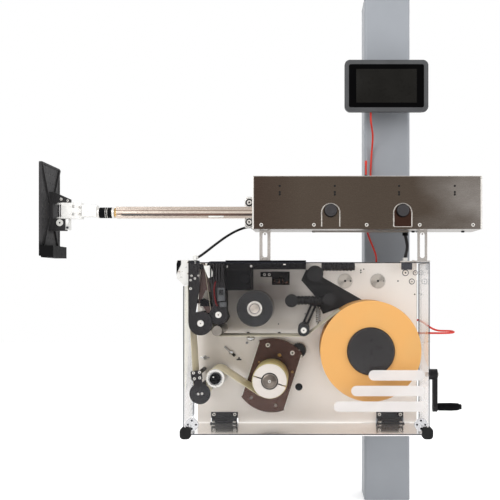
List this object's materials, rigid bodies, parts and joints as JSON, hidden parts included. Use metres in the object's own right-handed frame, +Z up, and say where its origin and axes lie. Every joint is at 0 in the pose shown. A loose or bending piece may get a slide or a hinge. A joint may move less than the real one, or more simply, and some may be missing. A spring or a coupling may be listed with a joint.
{
  "type": "label printer applicator",
  "caption": "Column-mounted label print and apply machine with a clear hinged hood, label and ribbon rolls, liner rewinder, operator panel and a pneumatic arm with a vacuum pad.",
  "frame": {"origin": "centre of the column's foot, on the floor plate it is bolted to", "axes": "+Z up along the column, -Y towards the operator, the label arm reaches out along -X"},
  "size_m": [1.048, 0.442, 1.323],
  "materials": {
    "column_paint": "satin blue-grey powder coat",
    "dark_plastic": "matte moulded black-grey plastic",
    "black_plastic": "matte moulded black plastic",
    "gear_steel": "milled steel",
    "panel_grey": "fine-textured grey moulded bezel",
    "panel_black": "smooth black touch screen front",
    "cable_red": "soft red cable sheath",
    "frame_paint": "dark grey powder coat",
    "pad_nylon": "white sliding plastic",
    "shaft_steel": "ground and polished steel",
    "black_metal": "black oxide and black paint",
    "crank_metal": "black-coated cast aluminium",
    "grip_plastic": "matte black turning grip",
    "housing_paint": "dark grey powder-coated sheet",
    "plate_steel": "brushed stainless steel",
    "motor_black": "black-coated gear motor",
    "hub_plastic": "matte black moulded hub",
    "label_orange": "edge of wound labels on orange backing",
    "ribbon_black": "glossy wound transfer film",
    "hub_aluminium": "turned aluminium",
    "mandrel_white": "white-coated aluminium",
    "flange_steel": "polished steel with a dark brown reflection",
    "liner_paper": "wound glassine liner",
    "spring_steel": "spring wire",
    "roller_metal": "turned aluminium roller",
    "roller_rubber": "ground black rubber",
    "head_black": "black-coated print head casting",
    "bright_aluminium": "bright milled aluminium",
    "label_face": "cream label paper",
    "liner_face": "honey glassine liner",
    "clear_sheet": "clear polycarbonate sheet",
    "hood_steel": "mirror-polished stainless steel",
    "bumper_rubber": "matte black rubber",
    "hinge_black": "black glass-filled plastic hinge",
    "post_steel": "bright brushed steel",
    "cover_steel": "polished steel with a dark brown reflection",
    "inner_steel": "folded stainless sheet",
    "cylinder_aluminium": "anodised aluminium profile",
    "beam_aluminium": "bright anodised grooved profile",
    "pad_black": "dark grey moulded plate",
    "hose_black": "black air hose"
  },
  "bodies": {
    "column": {"column": "column_paint", "column_cap": "dark_plastic", "gear_rack": "gear_steel", "panel_bracket": "frame_paint", "panel_housing": "panel_grey", "panel_glass": "panel_black", "signal_cable_upper": "cable_red"},
    "carriage": {"carriage_frame": "frame_paint", "slide_pads": "pad_nylon", "rear_housing": "housing_paint", "base_plate": "plate_steel", "drive_motors": "motor_black", "roller_shafts": "shaft_steel", "nip_bracket": "black_metal", "print_side_plate": "black_metal", "print_head": "head_black", "top_cover": "black_plastic", "peel_bracket": "bright_aluminium", "label_web": "label_face", "liner_web": "liner_face", "cable_arm": "black_plastic", "dancer_spring": "spring_steel", "hinge_upper": "hinge_black", "applicator_posts": "post_steel", "applicator_cover": "cover_steel", "applicator_frame": "inner_steel", "cylinder_barrel": "cylinder_aluminium", "signal_cable_lower": "cable_red", "air_hose_front": "hose_black", "air_hose_rear": "hose_black", "power_lead": "cable_red"},
    "crank": {"pinion_shaft": "gear_steel", "crank_arm": "crank_metal"},
    "grip": {"crank_grip": "grip_plastic"},
    "hood": {"hood_shell": "clear_sheet", "hood_floor": "hood_steel", "hood_bumpers": "bumper_rubber", "hinge_lower": "hinge_black"},
    "supply_roll": {"unwind_hub": "hub_plastic", "label_roll": "label_orange", "hub_cap": "hub_plastic"},
    "ribbon_supply": {"ribbon_hub": "hub_aluminium", "ribbon_roll": "ribbon_black"},
    "rewinder": {"rewind_mandrel": "mandrel_white", "rewind_flange": "flange_steel", "liner_roll": "liner_paper"},
    "dancer": {"dancer_arm": "black_metal"},
    "dancer_wheel": {"dancer_roller": "hub_plastic"},
    "guide": {"guide_roller": "roller_metal"},
    "nip": {"nip_roller": "roller_rubber"},
    "platen": {"platen_roller": "roller_rubber"},
    "knob": {"tension_knob": "grip_plastic"},
    "left_latch": {"latch_left": "grip_plastic"},
    "right_latch": {"latch_right": "grip_plastic"},
    "arm": {"beam": "beam_aluminium", "beam_head": "bright_aluminium"},
    "upper_roller": {"beam_roller_upper": "hub_plastic"},
    "lower_roller": {"beam_roller_lower": "hub_plastic"},
    "pad": {"vacuum_pad": "pad_black", "pad_pin": "shaft_steel"}
  },
  "joints": [
    {"name": "carriage_lift", "type": "slide", "parent": "column", "child": "carriage", "axis": [0, 0, 1], "range_m": [-0.08, 0.08]},
    {"name": "crank_turn", "type": "hinge", "parent": "carriage", "child": "crank", "pos_m": [0.05, -0.08687, 0.335], "axis": [1, 0, 0], "range_deg": [-306, 306]},
    {"name": "crank_grip_spin", "type": "hinge", "parent": "crank", "child": "grip", "pos_m": [0.158, -0.08687, 0.25], "axis": [1, 0, 0], "continuous": true},
    {"name": "hood_open", "type": "hinge", "parent": "carriage", "child": "hood", "pos_m": [-0.213, -0.1793, 0.2293], "axis": [1, 0, 0], "range_deg": [0, 90]},
    {"name": "label_roll_spin", "type": "hinge", "parent": "carriage", "child": "supply_roll", "pos_m": [-0.0626, -0.26, 0.414], "axis": [0, 1, 0], "continuous": true},
    {"name": "ribbon_spin", "type": "hinge", "parent": "carriage", "child": "ribbon_supply", "pos_m": [-0.3357, -0.24, 0.5124], "axis": [0, 1, 0], "continuous": true},
    {"name": "rewinder_spin", "type": "hinge", "parent": "carriage", "child": "rewinder", "pos_m": [-0.299, -0.26, 0.344], "axis": [0, 1, 0], "continuous": true},
    {"name": "dancer_swing", "type": "hinge", "parent": "carriage", "child": "dancer", "pos_m": [-0.19, -0.185, 0.53], "axis": [0, 1, 0], "range_deg": [0, 15], "stiffness_Nm_per_rad": 3, "springref_deg": -20.05, "deforming": ["dancer_spring"]},
    {"name": "dancer_roller_spin", "type": "hinge", "parent": "dancer", "child": "dancer_wheel", "pos_m": [-0.2194, -0.262, 0.4627], "axis": [0, 1, 0], "continuous": true},
    {"name": "guide_roller_spin", "type": "hinge", "parent": "carriage", "child": "guide", "pos_m": [-0.426, -0.255, 0.35], "axis": [0, 1, 0], "continuous": true},
    {"name": "nip_roller_spin", "type": "hinge", "parent": "carriage", "child": "nip", "pos_m": [-0.461, -0.255, 0.3155], "axis": [0, 1, 0], "continuous": true},
    {"name": "platen_spin", "type": "hinge", "parent": "carriage", "child": "platen", "pos_m": [-0.4594, -0.257, 0.4793], "axis": [0, 1, 0], "continuous": true},
    {"name": "tension_knob_turn", "type": "hinge", "parent": "carriage", "child": "knob", "pos_m": [-0.358, -0.305, 0.582], "axis": [0, 1, 0], "range_deg": [-150, 150]},
    {"name": "left_latch_turn", "type": "hinge", "parent": "carriage", "child": "left_latch", "pos_m": [-0.1555, -0.31, 0.7446], "axis": [0, 1, 0], "range_deg": [0, 90]},
    {"name": "right_latch_turn", "type": "hinge", "parent": "carriage", "child": "right_latch", "pos_m": [0.0151, -0.31, 0.7446], "axis": [0, 1, 0], "range_deg": [0, 90]},
    {"name": "arm_extend", "type": "slide", "parent": "carriage", "child": "arm", "axis": [1, 0, 0], "range_m": [0, 0.33]},
    {"name": "upper_roller_spin", "type": "hinge", "parent": "carriage", "child": "upper_roller", "pos_m": [-0.352, -0.229, 0.7688], "axis": [0, 1, 0], "continuous": true},
    {"name": "lower_roller_spin", "type": "hinge", "parent": "carriage", "child": "lower_roller", "pos_m": [-0.352, -0.229, 0.7212], "axis": [0, 1, 0], "continuous": true},
    {"name": "pad_swing", "type": "hinge", "parent": "arm", "child": "pad", "pos_m": [-0.817, -0.229, 0.745], "axis": [0, 0, -1], "range_deg": [-90, 0]}
  ],
  "couplings": [
    {"joint": "crank_turn", "follows": "carriage_lift", "rad_per_m": -66.667},
    {"joint": "upper_roller_spin", "follows": "arm_extend", "rad_per_m": -105.26},
    {"joint": "lower_roller_spin", "follows": "arm_extend", "rad_per_m": 105.26}
  ]
}
